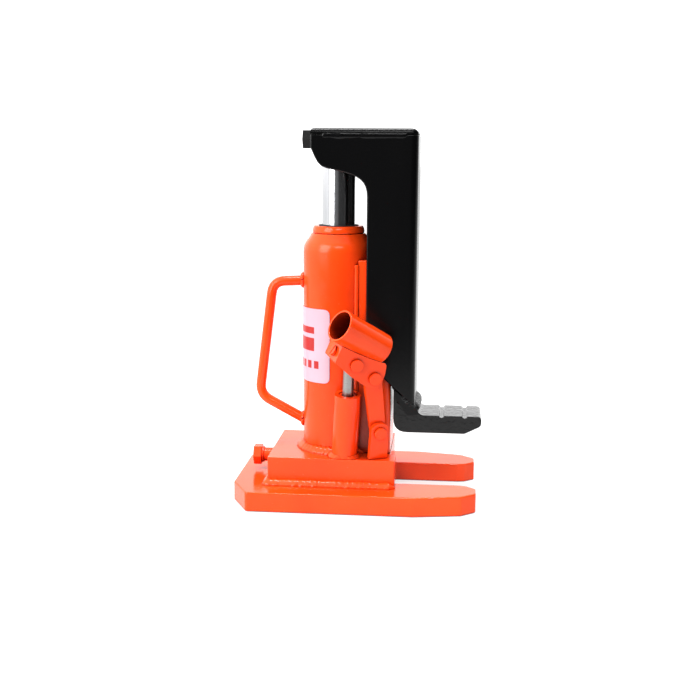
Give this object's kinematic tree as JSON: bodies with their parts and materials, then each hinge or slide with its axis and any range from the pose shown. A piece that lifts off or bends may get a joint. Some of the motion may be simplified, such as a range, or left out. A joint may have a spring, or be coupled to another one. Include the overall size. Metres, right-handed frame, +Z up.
{
  "type": "hydraulic toe jack",
  "caption": "Small hydraulic bottle jack on a forked base plate, with an L-shaped claw on its ram, a low lifting toe, a side pump with a handle socket and a carrying handle.",
  "frame": {"origin": "point of the base plate's underside that lies on the axis of the ram", "axes": "+Z up along the ram, +X from the ram to the tip of the toe, +Y away from the pump"},
  "size_m": [0.2255, 0.1662, 0.3375],
  "materials": {
    "orange_paint": "glossy enamel",
    "orange_plate": "glossy enamel over thick plate",
    "black_paint": "glossy enamel",
    "black_forging": "gloss over a rough forging",
    "chrome": "ground and plated",
    "bare_steel": "machined",
    "rubber": "matt",
    "label": "printed film"
  },
  "bodies": {
    "base": {"base_plate": "orange_plate", "pump_block": "orange_paint", "block_weld": "orange_paint", "oil_tank": "orange_paint", "tank_weld": "orange_paint", "gland_nut": "orange_paint", "wiper_seal": "rubber", "pressure_cylinder": "bare_steel", "filler_plug": "rubber", "guide_rail": "orange_paint", "rail_weld_front": "orange_paint", "rail_weld_rear": "orange_paint", "carry_handle": "orange_paint", "pump_cylinder": "orange_paint", "pump_gland": "orange_paint", "pump_weld_left": "orange_paint", "pump_weld_right": "orange_paint", "pump_lug": "orange_paint", "lug_pin": "orange_paint", "capacity_label": "label"},
    "lift": {"ram": "chrome", "ram_piston": "bare_steel", "ram_cup_seal": "rubber", "claw_channel": "black_paint", "claw_top_plate": "black_paint", "ram_socket_block": "black_paint", "ram_lock_bolt": "black_paint", "claw_toe": "black_forging", "toe_weld": "black_paint"},
    "pump_link_arm": {"pump_link": "orange_paint"},
    "handle_yoke": {"handle_socket": "orange_paint", "socket_yoke": "orange_paint", "clamp_screw": "orange_paint", "plunger_pin": "orange_paint", "link_pin": "orange_paint"},
    "plunger": {"pump_plunger": "chrome"},
    "valve": {"release_valve": "orange_paint"}
  },
  "joints": [
    {"name": "lift", "type": "slide", "parent": "base", "child": "lift", "axis": [0, 0, 1], "range_m": [-0.055, 0.06]},
    {"name": "handle", "type": "hinge", "parent": "pump_link_arm", "child": "handle_yoke", "pos_m": [0.0306, -0.04076, 0.12312], "axis": [-0.4185, 0.8975, 0.1392], "range_deg": [-34, 10]},
    {"name": "link_swing", "type": "hinge", "parent": "base", "child": "pump_link_arm", "pos_m": [0.03519, -0.03051, 0.07083], "axis": [-0.4185, 0.8975, 0.1392], "range_deg": [-2, 5.5]},
    {"name": "plunger_stroke", "type": "slide", "parent": "base", "child": "plunger", "axis": [0.0588, -0.1261, 0.9903], "range_m": [-0.0102, 0.0035]},
    {"name": "valve_turn", "type": "hinge", "parent": "base", "child": "valve", "pos_m": [-0.07, 0, 0.032], "axis": [1, 0, 0], "range_deg": [0, 180]}
  ],
  "couplings": [
    {"joint": "link_swing", "follows": "handle", "ratio": -0.15},
    {"joint": "plunger_stroke", "follows": "handle", "m_per_rad": 0.016}
  ]
}
